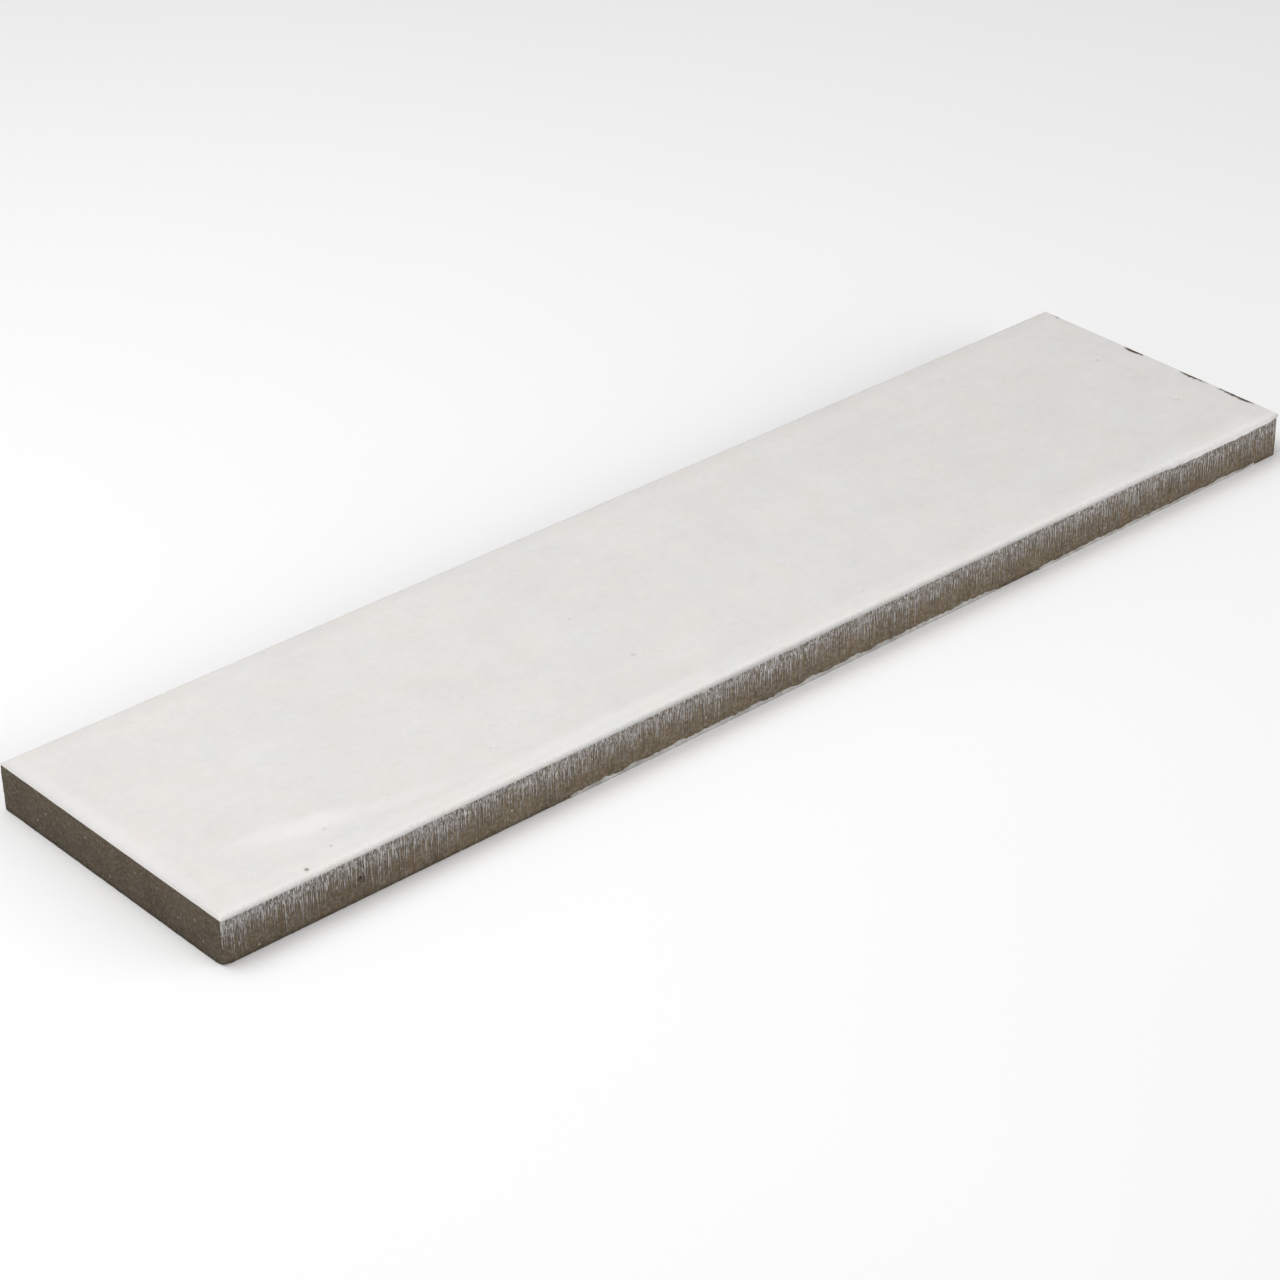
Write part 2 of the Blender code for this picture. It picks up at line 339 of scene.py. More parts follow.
def wall_dent(x, y, z, out):
    """How far the bare side lies inside its true line here."""
    rising = max(0.0, 1.0 - (z - FOOT) / CRUMBLE_HEIGHT)
    crumble = max(0.0, 0.30 + wobble(x + y, y - x, 0, 3.1 * MM)) * rising
    dent = CRUMBLE_DEPTH * crumble * (0.6 + 0.6 * wobble(x, y, 3, 0.8 * MM))
    dent += GRIT_DEPTH * (1 + wobble(x, y, z, 1.1 * MM))
    if abs(out.y) > LONG_SIDE:
        dent += SCRATCH_DEPTH * (1 + noise.noise(Vector((x / (0.7 * MM), y, z / (9 * MM)))))
    dent += DEEPEST_PIT * pit_share(x, z, out)
    dent += CORNER_DEPTH * corner_loss(x, y, z)
    return max(0.0, dent)


def corner_loss(x, y, z):
    """1 at the lower near corner, which is knocked off, falling to 0 a little way from it."""
    away = (Vector((x, y, z)) - CHIPPED_CORNER).length / CORNER_CHIP
    return max(0.0, 1.0 - away)


loop = walk_round(half_length, body_high.y, CORNER_RADIUS, WALL_STEP)
heights = [(FOOT + ARRIS_ROUND * (1 - math.cos(a)), ARRIS_ROUND * (1 - math.sin(a)))
           for a in np.linspace(0, math.pi / 2, ARRIS_ROWS)]
wall_start = heights[-1][0]
wall_height = body_high.z - wall_start
wall_rows = round(wall_height / WALL_STEP)
heights += [(wall_start + wall_height * (k + 1) / wall_rows, 0.0) for k in range(wall_rows)]
points = []
long_side = []
pits = []
for z, inset in heights:
    for place, out in loop:
        x, y = place
        spot = place - out * (inset + wall_dent(x, y, z, out))
        points.append((spot.x, spot.y, z + CORNER_LIFT * corner_loss(x, y, z)))
        long_side.append(min(1.0, max(0.0, abs(out.y) * 2 - 1)))
        pits.append(pit_share(x, z, out))
around = len(loop)
faces = []
for row in range(len(heights) - 1):
    for k in range(around):
        a, b = row * around + k, row * around + (k + 1) % around
        faces.append((a, b, b + around, a + around))
faces.append(tuple((len(heights) - 1) * around + k for k in range(around)))
body = piece_from("stoneware_tile_body", points, faces)
paint(body, "long_side", long_side)
paint(body, "pit_shade", pits)

bm = bmesh.new()
bm.from_mesh(body.data)
rims = [e for e in bm.edges if e.is_boundary]
for outline, bed_line in zip(pockets(0.0), pockets(-POCKET_DRAFT)):
    mouth = [bm.verts.new((x, y, FOOT)) for x, y in outline]
    bed = [bm.verts.new((x, y, FOOT + POCKET_DEPTH)) for x, y in bed_line]
    count = len(outline)
    for k in range(count):
        n = (k + 1) % count
        rims.append(bm.edges.new((mouth[k], mouth[n])))
        bm.faces.new((mouth[n], mouth[k], bed[k], bed[n]))
    bm.faces.new(bed)
bmesh.ops.triangle_fill(bm, use_beauty=True, use_dissolve=False, edges=rims)
bmesh.ops.recalc_face_normals(bm, faces=bm.faces)
bm.to_mesh(body.data)
bm.free()
body.data.set_sharp_from_angle(angle=math.radians(50))
body.data.materials.append(fired_clay())
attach(body, "root")
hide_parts("stoneware_body")

# --- The slip coat --------------------------------------------------------------------------------
# A thin coat of white liquid clay, laid over the whole face so that the brown body doesn't darken
# the glaze. It lies under the glaze and stops just short of the tile's edges.

SLIP_DULL = (0.62, 0.60, 0.57)
SLIP_WHITE = (0.72, 0.70, 0.67)


def fired_slip():
    finish = Finish("fired_slip", 0.6, specular=0.35)
    cloud = finish.span(finish.grain(4 * MM), 0.3, 0.7)
    finish.colour(finish.mix(cloud, SLIP_DULL, SLIP_WHITE))
    finish.bump(finish.grain(0.4 * MM, 4.0), 0.03 * MM)
    return finish.material


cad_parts["slip_coat"].material_slots[0].material = fired_slip()

# --- The glaze ------------------------------------------------------------------------------------
# An off-white gloss glaze poured over the face and fused to the slip. It sinks towards its rims,
# rolls over the arris, hangs down at the far front, and holds pinholes, a few chips and whiter
# smears, which are partly thicker glaze and partly painted reflection.

TOP = tile_high.z
HALF_WIDTH = tile_high.y
GLAZE_CELL = 0.55 * MM
RIM_ROWS = 9
# How far in from each side the face starts to roll over.
RIM_REACH = {"left": 1.2 * MM, "right": 1.1 * MM, "front": 1.5 * MM, "back": 1.3 * MM}
ROLL_START = math.radians(30)
SAG_POWER = 6
SAG_WHITENS = 0.5
DEEPEST_SAG = 0.6 * MM
FAR_SAG = 0.55 * MM
SCALLOP = 0.40 * MM
SAG_FROM = 88 * MM
SCALLOPS_FROM = 60 * MM
MIDDLE_FRAY = 0.35
EDGE_GAP = 0.04 * MM
EDGE_RAGGED = 0.03 * MM
EDGE_WAVE = 0.06 * MM
LIP_DEPTH = 0.2 * MM
BEAD = 0.06 * MM
# The glaze's underside lies just over the body along the edge, and higher under the face.
SEAT = body_high.z + 0.02 * MM
GLAZE_UNDER = TOP - 0.58 * MM
GLAZE_WHITE = (0.768, 0.742, 0.7265)
CHIP_DEPTH = 0.26 * MM
CHIP_INSET = 0.12 * MM
CHIP_REACH = 1.5 * MM

# Chips in the arris of the far end, as (from y, to y, share of the full depth).
CHIPS = (
    (3.0 * MM, 8.4 * MM, 1.0),
    (-13.8 * MM, -5.6 * MM, 0.8),
    (-25.4 * MM, -15.2 * MM, 0.9),
    (24.2 * MM, 28.0 * MM, 0.5),
)

# Pinholes and specks on the face, as (x, y, radius, how dark).
MARKS = (
    (-105.2 * MM, -28.2 * MM, 0.72 * MM, 0.97),
    (-25.8 * MM, 1.9 * MM, 0.36 * MM, 0.65),
    (-25.5 * MM, -14.3 * MM, 0.75 * MM, 0.16),
    (113.8 * MM, 7.7 * MM, 0.42 * MM, 0.45),
    (113.4 * MM, -1.3 * MM, 0.26 * MM, 0.50),
    (114.0 * MM, -1.9 * MM, 0.26 * MM, 0.50),
    (112.8 * MM, -13.9 * MM, 0.50 * MM, 0.24),
    (112.2 * MM, -13.5 * MM, 0.50 * MM, 0.20),
    (103.7 * MM, 7.2 * MM, 0.36 * MM, 0.18),
    (79.5 * MM, -11.9 * MM, 0.30 * MM, 0.20),
    (-69.1 * MM, -7.7 * MM, 0.30 * MM, 0.28),
    (40.2 * MM, -26.3 * MM, 0.32 * MM, 0.38),
    (18.1 * MM, -25.1 * MM, 0.32 * MM, 0.32),
    (-83.9 * MM, -21.4 * MM, 0.34 * MM, 0.34),
    (-98.6 * MM, -25.8 * MM, 0.42 * MM, 0.34),
    (-96.4 * MM, -21.3 * MM, 0.65 * MM, 0.14),
    (-113.1 * MM, -25.1 * MM, 0.22 * MM, 0.30),
    (-62.1 * MM, -20.7 * MM, 0.50 * MM, 0.12),
    (-61.4 * MM, -21.5 * MM, 0.45 * MM, 0.14),
    (1.2 * MM, -12.6 * MM, 0.28 * MM, 0.26),
    (-55.5 * MM, -5.6 * MM, 0.60 * MM, 0.12),
)

# Where the glaze lies thicker and whiter, partly painted reflection: the first patch also stands in for a
# gloss smear. As (x, y, half length, half width, turn, how much).
POOLS_AND_SHEEN = (
    (-97.4 * MM, -18.9 * MM, 12.0 * MM, 2.8 * MM, -14, 0.90),
    (-80.0 * MM, -23.1 * MM, 11.0 * MM, 1.8 * MM, -9, 0.45),
    (-50.5 * MM, -27.0 * MM, 30.0 * MM, 1.3 * MM, 0, 0.35),
    (-121.4 * MM, 0.0, 1.9 * MM, 30.0 * MM, 0, 0.55),
)


def glaze_edge(side, along):
    """How high above the back the glaze ends on this side of the tile."""
    rest = tile_low.z - EDGE_GAP
    number = {"front": 1, "back": 2, "left": 3, "right": 4}[side]
    ragged = wobble(along, 0, number, 2.6 * MM)
    if side in ("left", "right"):
        return rest + EDGE_RAGGED * ragged
    slow = wobble(along, 5, 0, 21 * MM)
    nibble = wobble(along, 2, number, 0.9 * MM)
    return rest - EDGE_WAVE * (1 + slow) - EDGE_WAVE * (1 + ragged) - EDGE_RAGGED * (1 + nibble)


def front_sag(along):
    """How much lower the glaze hangs over the front arris towards the tile's far end."""
    onset = min(1.0, max(0.0, (along - SCALLOPS_FROM) / (40 * MM)))
    ending = min(1.0, (half_length - along) / (3 * MM))
    sag = min(1.0, max(0.0, (along - SAG_FROM) / (12 * MM))) * ending
    scallop = abs(wobble(along, 8, 0, 3.4 * MM))
    return FAR_SAG * sag + SCALLOP * scallop * onset


# How deep the face sinks at each rim, and how high the ridge inside it is.
RIM_SINK = {"left": 0.16 * MM, "right": 0.12 * MM, "front": 0.26 * MM, "back": 0.16 * MM}
RIM_RIDGE = {"left": 0.10 * MM, "right": 0.03 * MM, "front": 0.05 * MM, "back": 0.04 * MM}
SINK_WIDTH = 2.2 * MM
RIDGE_INSET = 4.4 * MM
RIDGE_WIDTH = 1.7 * MM
RIDGE_STRAY = 1.2 * MM
CROWN_DROP = 0.16 * MM
PINHOLE_DEPTH = 0.14 * MM


def crown(x, y):
    """The height of the poured face here, below the highest that it reaches."""
    gaps = {
        "left": half_length + x,
        "right": half_length - x,
        "front": HALF_WIDTH + y,
        "back": HALF_WIDTH - y,
    }
    sink = 0.0
    height = 0.05 * MM * wobble(x, y, 0, 24 * MM) + 0.014 * MM * wobble(x, y, 7, 6 * MM) - CROWN_DROP
    height += 0.004 * MM * wobble(x, y, 3, 2.2 * MM)
    for side, gap in gaps.items():
        if gap < 10 * MM:
            sink = max(sink, RIM_SINK[side] * math.exp(-((gap / SINK_WIDTH) ** 2)))
            stray = RIDGE_STRAY * wobble(x, y, 11, 9 * MM)
            height += RIM_RIDGE[side] * math.exp(-(((gap + stray - RIDGE_INSET) / RIDGE_WIDTH) ** 2))
    for mark_x, mark_y, radius, dark in MARKS:
        gap = math.hypot(x - mark_x, y - mark_y) / (radius + 0.25 * MM)
        if gap < 3:
            height -= PINHOLE_DEPTH * dark * math.exp(-gap * gap)
    return height - sink


def chip_here(x, y):
    """About 1 in the middle of a chip in the far end's arris, 0 outside them all."""
    if x < 0:
        return 0.0
    depth = 0.0
    for start, end, share in CHIPS:
        into = (y - start) * (end - y) / (0.5 * (end - start)) ** 2
        depth = max(depth, share * math.sqrt(max(0.0, into)))
    return depth * (0.9 + 0.35 * wobble(x, y, 2, 2.2 * MM) + 0.25 * wobble(x, y, 6, 0.9 * MM))


def steps_across(half, near, far):
    """Where each line of the face's net lies: packed over the two rolled edges, even between them."""
    cells = round((2 * half - near - far) / GLAZE_CELL)
    lines = [("near", k / RIM_ROWS) for k in range(RIM_ROWS)]
    lines += [("flat", -half + near + (2 * half - near - far) * k / cells) for k in range(cells + 1)]
    lines += [("far", k / RIM_ROWS) for k in reversed(range(RIM_ROWS))]
    return lines


def place_on(line, half, near, far):
    """A net line's place across the tile and the share of the edge's drop that it has rolled down."""
    kind, value = line
    if kind == "flat":
        return value, 0.0
    angle = ROLL_START + value * (math.pi / 2 - ROLL_START)
    reach, sign = (near, -1) if kind == "near" else (far, 1)
    inward = reach * (1 - math.cos(angle) / math.cos(ROLL_START))
    return sign * (half - inward), (1 - math.sin(angle)) / (1 - math.sin(ROLL_START))


def round_corner(x, y, radius):
    """Pulls a square corner in to a round one."""
    over_x = abs(x) - (half_length - radius)
    over_y = abs(y) - (HALF_WIDTH - radius)
    if over_x <= 0 or over_y <= 0:
        return x, y
    pull = max(over_x, over_y) / math.hypot(over_x, over_y)
    return (
        math.copysign(half_length - radius + over_x * pull, x),
        math.copysign(HALF_WIDTH - radius + over_y * pull, y),
    )


across_x = steps_across(half_length, RIM_REACH["left"], RIM_REACH["right"])
across_y = steps_across(HALF_WIDTH, RIM_REACH["front"], RIM_REACH["back"])
points = []
chips = []
thins = []
for line_y in across_y:
    y, roll_y = place_on(line_y, HALF_WIDTH, RIM_REACH["front"], RIM_REACH["back"])
    for line_x in across_x:
        x, roll_x = place_on(line_x, half_length, RIM_REACH["left"], RIM_REACH["right"])
        if roll_y > roll_x:
            side, along = ("front" if y < 0 else "back"), x
        else:
            side, along = ("left" if x < 0 else "right"), y
        roll = max(roll_x, roll_y)
        fall = roll * (TOP - glaze_edge(side, along))
        if side == "front":
            fall += front_sag(x) * roll ** SAG_POWER
        at_end = math.exp(-(((half_length - x) / CHIP_REACH) ** 3)) if x > 0 else 0.0
        chip = chip_here(x, y) * at_end
        lowered = max(fall, CHIP_DEPTH * chip) - crown(x, y) * (1 - roll)
        thin = 0.0 if side == "left" else roll
        if side == "front":
            thin *= 1.0 - SAG_WHITENS * min(1.0, front_sag(x) / DEEPEST_SAG)
            thin *= 1.0 + MIDDLE_FRAY * math.exp(-((x - 5 * MM) / (55 * MM)) ** 2)
        thins.append(thin)
        corner_x, corner_y = round_corner(x, y, CORNER_RADIUS)
        points.append((corner_x - CHIP_INSET * chip, corner_y, TOP - lowered))
        chips.append(chip)
wide = len(across_x)
deep = len(across_y)
faces = []
for j in range(deep - 1):
    for i in range(wide - 1):
        a = j * wide + i
        faces.append((a, a + 1, a + 1 + wide, a + wide))
rim = list(range(wide))
rim += [j * wide + wide - 1 for j in range(1, deep)]
rim += [(deep - 1) * wide + i for i in reversed(range(wide - 1))]
rim += [j * wide for j in reversed(range(1, deep - 1))]

# The rings that turn the glaze's edge under, as (distance inwards, lift, lowest height).
LIPS_UNDER = (
    (LIP_DEPTH / 2, -BEAD, 0.0),
    (LIP_DEPTH, 0.0, 0.0),
    (LIP_DEPTH, 0.0, SEAT),
    (0.50 * MM, 0.0, SEAT),
    (0.85 * MM, 0.0, GLAZE_UNDER),
)
rings = [rim]
for tuck, lift, lowest in LIPS_UNDER:
    ring = []
    for k in rim:
        x, y, z = points[k]
        ring.append(len(points))
        points.append((x * (1 - tuck / half_length), y * (1 - tuck / HALF_WIDTH), max(z + lift, lowest)))
        chips.append(0.0)
        thins.append(1.0)
    rings.append(ring)
for upper, lower in zip(rings, rings[1:]):
    for k in range(len(rim)):
        n = (k + 1) % len(rim)
        faces.append((upper[n], upper[k], lower[k], lower[n]))
faces.append(tuple(reversed(rings[-1])))
glaze = piece_from("glaze_face", points, faces)
paint(glaze, "chip", chips)
paint(glaze, "thin", thins)
glaze.data.set_sharp_from_angle(angle=math.radians(60))


CLOUDING = 0.06
COOL_TINT = (0.962, 1.0, 1.020)
WARM_TINT = (1.0, 0.982, 0.950)
POOL_AND_SHEEN_WHITE = (0.822, 0.812, 0.799)
DUST_GREY = (0.45, 0.42, 0.38)
PINHOLE_DARK = (0.085, 0.075, 0.06)
THIN_GREY = (0.31, 0.30, 0.29)
BARED_DARK = (0.06, 0.044, 0.032)
BARED_PALE = (0.15, 0.11, 0.078)


def lighter(colour, share):
    """The colour with each part made larger by this share, or smaller."""
    return tuple(c * (1 + share) for c in colour)


def poured_glaze():
    finish = Finish("poured_glaze", 0.24)
    cloud = finish.grain(12 * MM, 7.0, 0.86)
    curd = finish.grain(1.0 * MM, 4.0, 0.7)
    milk = finish.sum("ADD", finish.sum("MULTIPLY", cloud, 0.72), finish.sum("MULTIPLY", curd, 0.28))
    cloudy = finish.span(milk, 0.32, 0.68)
    base = finish.mix(cloudy, lighter(GLAZE_WHITE, -CLOUDING), lighter(GLAZE_WHITE, CLOUDING))
    blotch = finish.span(finish.grain(7 * MM, 5.0, 0.75), 0.30, 0.70)
    tint = finish.mix(blotch, COOL_TINT, WARM_TINT)
    base = finish.mix(1.0, base, tint, kind="MULTIPLY")
    # Painted shade: the glaze is made slightly darker towards the far end.
    far = finish.span(finish.part("X"), -half_length, half_length, 1.0, 0.975)
    painted_far_shade = finish.node("ShaderNodeCombineColor", {0: far, 1: far, 2: far}).outputs[0]
    base = finish.mix(1.0, base, painted_far_shade, kind="MULTIPLY")
    torn = finish.span(finish.grain(2.6 * MM, 5.0, 0.7, stretch=(3.0, 1.0, 1.0)), 0.3, 0.7, -0.3, 0.3)
    # Whiter patches of thicker glaze, partly a painted reflection of the gloss.
    for x, y, half_x, half_y, turn, share in POOLS_AND_SHEEN:
        mapped = finish.node(
            "ShaderNodeMapping",
            {"Vector": finish.place, "Location": (x, y, 0.0), "Rotation": (0.0, 0.0, math.radians(turn)),
             "Scale": (half_x, half_y, 1.0)},
            vector_type="TEXTURE",
        ).outputs[0]
        flat = finish.node("ShaderNodeVectorMath", {0: mapped, 1: (1.0, 1.0, 0.0)}, operation="MULTIPLY")
        gap = finish.node("ShaderNodeVectorMath", {0: flat.outputs[0]}, operation="LENGTH").outputs["Value"]
        pool_and_sheen = finish.span(finish.sum("ADD", gap, torn), 1.35, 0.25, 0.0, share, smooth=True)
        base = finish.mix(pool_and_sheen, base, POOL_AND_SHEEN_WHITE)
    dust = finish.sum("MULTIPLY", finish.specks(3.4 * MM, 0.05), 0.22)
    base = finish.mix(dust, base, DUST_GREY)
    for x, y, radius, dark in MARKS:
        gap = finish.node(
            "ShaderNodeVectorMath", {0: finish.place, 1: (x, y, TOP)}, operation="DISTANCE"
        ).outputs["Value"]
        spot = finish.span(gap, radius, radius * 0.35, 0.0, dark, smooth=True)
        base = finish.mix(spot, base, PINHOLE_DARK)
    ragged = finish.span(finish.grain(0.5 * MM, 2.0), 0.3, 0.7, -0.12, 0.12)
    frayed = finish.sum("ADD", finish.painted("thin"), ragged)
    base = finish.mix(finish.span(frayed, 0.12, 1.0, 0.0, 0.80), base, THIN_GREY)
    crumbs = finish.span(finish.grain(0.55 * MM, 3.0, 0.7), 0.3, 0.7, -0.22, 0.22)
    broken = finish.span(finish.sum("ADD", finish.painted("chip"), crumbs), 0.26, 0.50)
    patches = finish.span(finish.grain(0.8 * MM), 0.4, 0.6)
    bared = finish.mix(patches, BARED_DARK, BARED_PALE)
    finish.colour(finish.mix(broken, base, bared))
    gloss = finish.span(finish.grain(9 * MM, 3.0), 0.3, 0.7, 0.18, 0.30)
    finish.roughness(finish.sum("MAXIMUM", gloss, finish.sum("MULTIPLY", broken, 0.8)))
    peel = finish.bump(finish.grain(3.2 * MM, 3.0), 0.05 * MM)
    finish.bump(finish.grain(0.7 * MM, 2.0), 0.008 * MM, under=peel)
    return finish.material


glaze.data.materials.append(poured_glaze())
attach(glaze, "root")
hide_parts("glaze_coat")

# --- The slip runs on the long edges --------------------------------------------------------------
# White slip that ran over both long edges under the pouring curtain and was dragged down by the
# guide brush. It dried in thousands of raised threads: short and matted under the glaze, long below.

# A thread's section, as (share of its width across, share of its thickness out of the wall).
THREAD_SIDES = ((-0.5, -0.3), (-0.38, 0.55), (0.0, 1.0), (0.38, 0.55), (0.5, -0.3))

# Each kind of thread. A start, length, width or thickness is in millimetres, as (least, most).
MATTED = {
    "pitch": 0.155 * MM, "rings": 4, "start": (0.0, 1.25), "length": (0.4, 1.5),
    "width": (0.14, 0.30), "white": (0.30, 1.2), "lean": 0.45,
}
HANGING = {
    "pitch": 0.44 * MM, "rings": 6, "start": (0.0, 1.20), "length": (1.3, 4.4),
    "width": (0.16, 0.34), "white": (0.40, 1.1), "lean": 0.10,
}
DRAGGED = {
    "pitch": 0.66 * MM, "rings": 8, "start": (0.05, 1.80), "length": (3.4, 7.6),
    "width": (0.16, 0.30), "white": (0.45, 0.95), "lean": 0.05,
}
THREAD_THICKNESS = (0.05, 0.14)
THREAD_DULL = (0.62, 0.61, 0.62)
THREAD_WHITE = (0.84, 0.825, 0.82)
THREAD_CLEAR_OF_FOOT = 0.9 * MM

# The one thread that runs down each corner of the near end.
CORNER_THREAD = {
    "length": 5.2 * MM, "width": 0.4 * MM, "thick": 0.1 * MM, "white": 0.8, "lean": 0.0, "rings": 8,
}
CORNER_THREAD_TOP = tile_low.z - 0.2 * MM


def dragged_slip():
    finish = Finish("dragged_slip", 0.7, specular=0.3)
    base = clay_colour(finish)
    patch = finish.span(finish.grain(0.42 * MM, 3.0, 0.65, stretch=(1.0, 1.0, 2.2)), 0.38, 0.60, 0.12, 1.0)
    share = finish.sum("MULTIPLY", finish.painted("white"), patch)
    pale = finish.mix(finish.span(finish.grain(0.9 * MM), 0.3, 0.7), THREAD_DULL, THREAD_WHITE)
    finish.colour(finish.mix(share, base, pale))
    finish.bump(finish.grain(0.3 * MM, 4.0, 0.7), 0.03 * MM)
    return finish.material


def add_thread(points, faces, whites, facing, x, top, length, width, thick, white, lean, rings):
    """One thread of slip: a low rounded ridge that thins out downwards."""
    start = len(points)
    wall = facing * body_high.y
    for ring in range(rings):
        t = ring / (rings - 1)
        swell = math.sin(math.pi * min(1.0, (t + 0.12) / 0.5) / 2) * (1.0 - 0.72 * t)
        middle = x + lean * length * t * t + 0.05 * MM * wobble(x, 0, top - length * t, 1.4 * MM)
        for across, out in THREAD_SIDES:
            points.append(
                (middle + across * width * swell, wall + facing * out * thick * swell, top - length * t)
            )
            whites.append(white * (1.0 - 0.45 * t) * (1.0 if out > 0.9 else 0.7))
    sides = len(THREAD_SIDES)
    for ring in range(rings - 1):
        for k in range(sides):
            a = start + ring * sides + k
            b = start + ring * sides + (k + 1) % sides
            quad = (a, b, b + sides, a + sides)
            faces.append(quad if facing > 0 else quad[::-1])
    for ring, flip in ((0, facing > 0), (rings - 1, facing < 0)):
        cap = tuple(start + ring * sides + k for k in range(sides))
        faces.append(cap[::-1] if flip else cap)


def edge_threads(side, facing, seed):
    """All the threads on one long side, as one piece."""
    chance = random.Random(seed)
    points, faces, whites = [], [], []
    reach = half_length - CORNER_RADIUS
    for kind in (MATTED, HANGING, DRAGGED):
        for number in range(int(2 * reach / kind["pitch"])):
            x = -reach + (number + chance.random()) * kind["pitch"]
            patchy = 0.5 + 0.5 * wobble(x, seed, 0, 7 * MM)
            top = glaze_edge(side, x) - chance.uniform(*kind["start"]) * MM * (0.5 + patchy)
            if side == "front":
                top -= front_sag(x)
            length = chance.uniform(*kind["length"]) * MM * (0.6 + 0.8 * patchy)
            length = min(length, top - FOOT - THREAD_CLEAR_OF_FOOT)
            white = chance.uniform(*kind["white"]) * (0.75 + 0.35 * patchy)
            width = chance.uniform(*kind["width"]) * MM
            thick = chance.uniform(*THREAD_THICKNESS) * MM
            lean = chance.uniform(-kind["lean"], kind["lean"])
            add_thread(
                points, faces, whites, facing, x, top, length, width, thick, white, lean, kind["rings"]
            )
    corner = -half_length + 0.5 * CORNER_RADIUS
    add_thread(points, faces, whites, facing, corner, CORNER_THREAD_TOP, **CORNER_THREAD)
    made = piece_from(side + "_slip_threads", points, faces)
    paint(made, "white", whites)
    made.data.materials.append(dragged_slip())
    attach(made, "root")
    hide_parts(side + "_edge_runs")


edge_threads("front", -1, 11)
edge_threads("back", 1, 29)

# --- The kiln wash --------------------------------------------------------------------------------
# A chalky wash rolled onto the back so that the tile doesn't stick to the kiln's rollers. It coats
# the rim and the ribs, and has crept up the lower front arris as a thin ragged lip.

WASH_GREY = (0.29, 0.282, 0.27)
WASH_PALE = (0.47, 0.458, 0.44)
WASH_MARGIN = 0.3 * MM
WASH_BEDDED = 0.06 * MM
LIP_STEP = 0.3 * MM
LIP_TAPER = 3 * MM
LIP_PROUD = 0.12 * MM

# The stretches of the lip along the front arris, as (from x, to x, share of the full height).
LIPS = ((-53.0 * MM, 47.0 * MM, 1.0), (58.0 * MM, 117.0 * MM, 0.5))


def chalky_wash():
    finish = Finish("chalky_wash", 0.9, specular=0.2)
    cloud = finish.span(finish.grain(2.2 * MM, 4.0), 0.3, 0.7)
    base = finish.mix(cloud, WASH_GREY, WASH_PALE)
    worn = finish.span(finish.grain(0.9 * MM, 4.0, 0.7), 0.58, 0.70, 0.0, 0.7)
    finish.colour(finish.mix(worn, base, CLAY))
    finish.bump(finish.grain(0.35 * MM, 5.0, 0.7), 0.05 * MM)
    return finish.material


wash_finish = chalky_wash()
bm = bmesh.new()
inset = ARRIS_ROUND + WASH_MARGIN
outer = rounded_box(0, 0, half_length - inset, body_high.y - inset, CORNER_CHIP)
edges = []
for ring in [outer] + list(pockets(WASH_MARGIN)):
    corner = [bm.verts.new((x, y, wash_low.z)) for x, y in ring]
    edges += [bm.edges.new((corner[k], corner[(k + 1) % len(corner)])) for k in range(len(corner))]
made = bmesh.ops.triangle_fill(bm, use_beauty=True, use_dissolve=False, edges=edges)
sheet = [f for f in made["geom"] if isinstance(f, bmesh.types.BMFace)]
lifted = bmesh.ops.extrude_face_region(bm, geom=sheet)
raised = [v for v in lifted["geom"] if isinstance(v, bmesh.types.BMVert)]
bmesh.ops.translate(bm, verts=raised, vec=(0, 0, FOOT - wash_low.z + WASH_BEDDED))
bmesh.ops.recalc_face_normals(bm, faces=bm.faces)
mesh = bpy.data.meshes.new("back_wash")
bm.to_mesh(mesh)
bm.free()
back_wash = bpy.data.objects.new("back_wash", mesh)
bpy.context.scene.collection.objects.link(back_wash)
back_wash.data.materials.append(wash_finish)


def lip_section(x, taper):
    """The lip's outline across the lower front arris, as (y, z), from the inside round."""
    rough = 0.5 + 0.9 * wobble(x, 0, 0, 3.4 * MM) + 0.6 * wobble(x, 4, 0, 1.0 * MM)
    height = (0.30 + 0.55 * min(1.0, max(0.0, rough))) * MM * (0.35 + 0.65 * taper)
    proud = LIP_PROUD + 0.05 * MM * wobble(x, 9, 0, 1.7 * MM)
    front = body_low.y
    foot = wash_low.z
    return (
        (front + 0.5 * MM, foot + 0.3 * MM),
        (front + 0.5 * MM, foot + 0.02 * MM),
        (front - 0.2 * proud, foot),
        (front - proud, foot + 0.14 * MM),
        (front - 0.9 * proud, foot + 0.6 * height + 0.1 * MM),
        (front - 0.3 * proud, foot + height + 0.15 * MM),
        (front + 0.12 * MM, foot + height + 0.18 * MM),
    )


points, faces = [], []
for start, end, share in LIPS:
    first = len(points)
    count = round((end - start) / LIP_STEP)
    for k in range(count + 1):
        x = start + (end - start) * k / count
        taper = share * min(1.0, (x - start) / LIP_TAPER, (end - x) / LIP_TAPER)
        section = lip_section(x, taper)
        points += [(x, y, z) for y, z in section]
    sides = len(section)
    for k in range(count):
        for s in range(sides):
            a = first + k * sides + s
            b = first + k * sides + (s + 1) % sides
            faces.append((a, b, b + sides, a + sides))
    faces.append(tuple(first + s for s in reversed(range(sides))))
    faces.append(tuple(first + count * sides + s for s in range(sides)))
lip = piece_from("wash_lip", points, faces)
lip.data.materials.append(wash_finish)
for piece in (back_wash, lip):
    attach(piece, "root")
    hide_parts("kiln_wash")

# --- The floor, the light and the camera ----------------------------------------------------------
# A white studio table, a soft light close over the tile's near end, a lower one from the front
# right, and a long lens that looks down on the tile from its near left-hand corner.

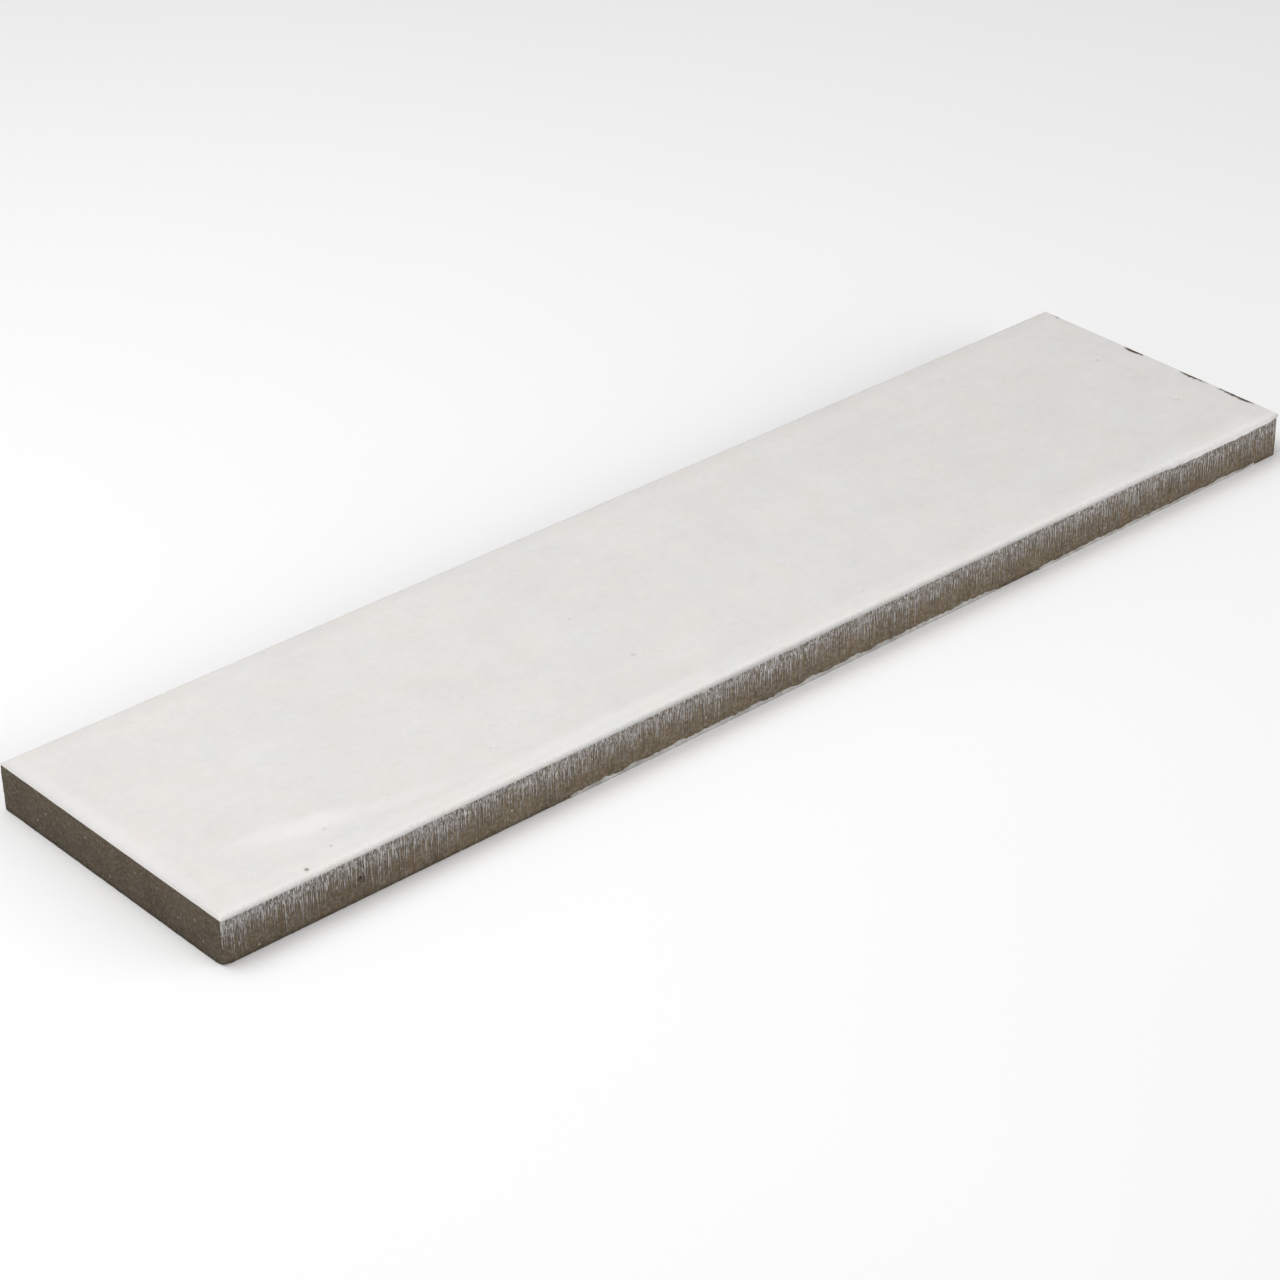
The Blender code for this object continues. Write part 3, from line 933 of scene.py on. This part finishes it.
TABLE_SIZE = 6.0
TABLE_GAP = 0.02 * MM
TABLE_DULL = (0.93, 0.93, 0.93)
TABLE_WHITE = (0.95, 0.95, 0.95)
ROOM_LIGHT = 0.425

bpy.ops.mesh.primitive_plane_add(size=TABLE_SIZE, location=(0, 0, cad_box[0][2] - TABLE_GAP))
floor = bpy.context.object
floor.name = "white_table"
table_finish = Finish("white_table", 0.9, specular=0.1)
shade = table_finish.span(table_finish.grain(0.25), 0.3, 0.7)
table_finish.colour(table_finish.mix(shade, TABLE_DULL, TABLE_WHITE))
floor.data.materials.append(table_finish.material)


def soft_light(name, place, aim, size, power, mirrored):
    """A flat soft lamp. One that isn't mirrored lights the tile but leaves no image in the gloss."""
    lamp = bpy.data.lights.new(name, "AREA")
    lamp.shape = "RECTANGLE"
    lamp.size, lamp.size_y = size
    lamp.energy = power
    holder = bpy.data.objects.new(name, lamp)
    bpy.context.scene.collection.objects.link(holder)
    holder.location = place
    holder.rotation_euler = (Vector(aim) - Vector(place)).to_track_quat("-Z", "Y").to_euler()
    holder.visible_glossy = mirrored


soft_light(
    "overhead", place=(-0.22, 0.12, 0.60), aim=(-0.08, 0.0, 0.0), size=(0.5, 0.5), power=2.55,
    mirrored=True,
)
soft_light(
    "front", place=(0.68, -1.25, 0.42), aim=(0.0, 0.0, 0.0), size=(2.2, 0.8), power=15.3,
    mirrored=False,
)

world = bpy.data.worlds.new("studio")
bpy.context.scene.world = world
world.use_nodes = True
background = world.node_tree.nodes["Background"]
background.inputs["Color"].default_value = (1.0, 1.0, 1.0, 1.0)
background.inputs["Strength"].default_value = ROOM_LIGHT
bpy.context.scene.view_settings.view_transform = "Standard"

lens = bpy.data.cameras.new("camera")
lens.lens = 106.9
lens.sensor_width = 36.0
camera = bpy.data.objects.new("camera", lens)
bpy.context.scene.collection.objects.link(camera)
camera.location = (-0.38798, -0.42570, 0.33880)
AIM = Vector((-0.0076, 0.0042, -0.0032))
LENS_ROLL = math.radians(-0.48)
look = (AIM - camera.location).to_track_quat("-Z", "Y").to_matrix()
camera.rotation_euler = (look @ Matrix.Rotation(LENS_ROLL, 3, "Z")).to_euler()
bpy.context.scene.camera = camera
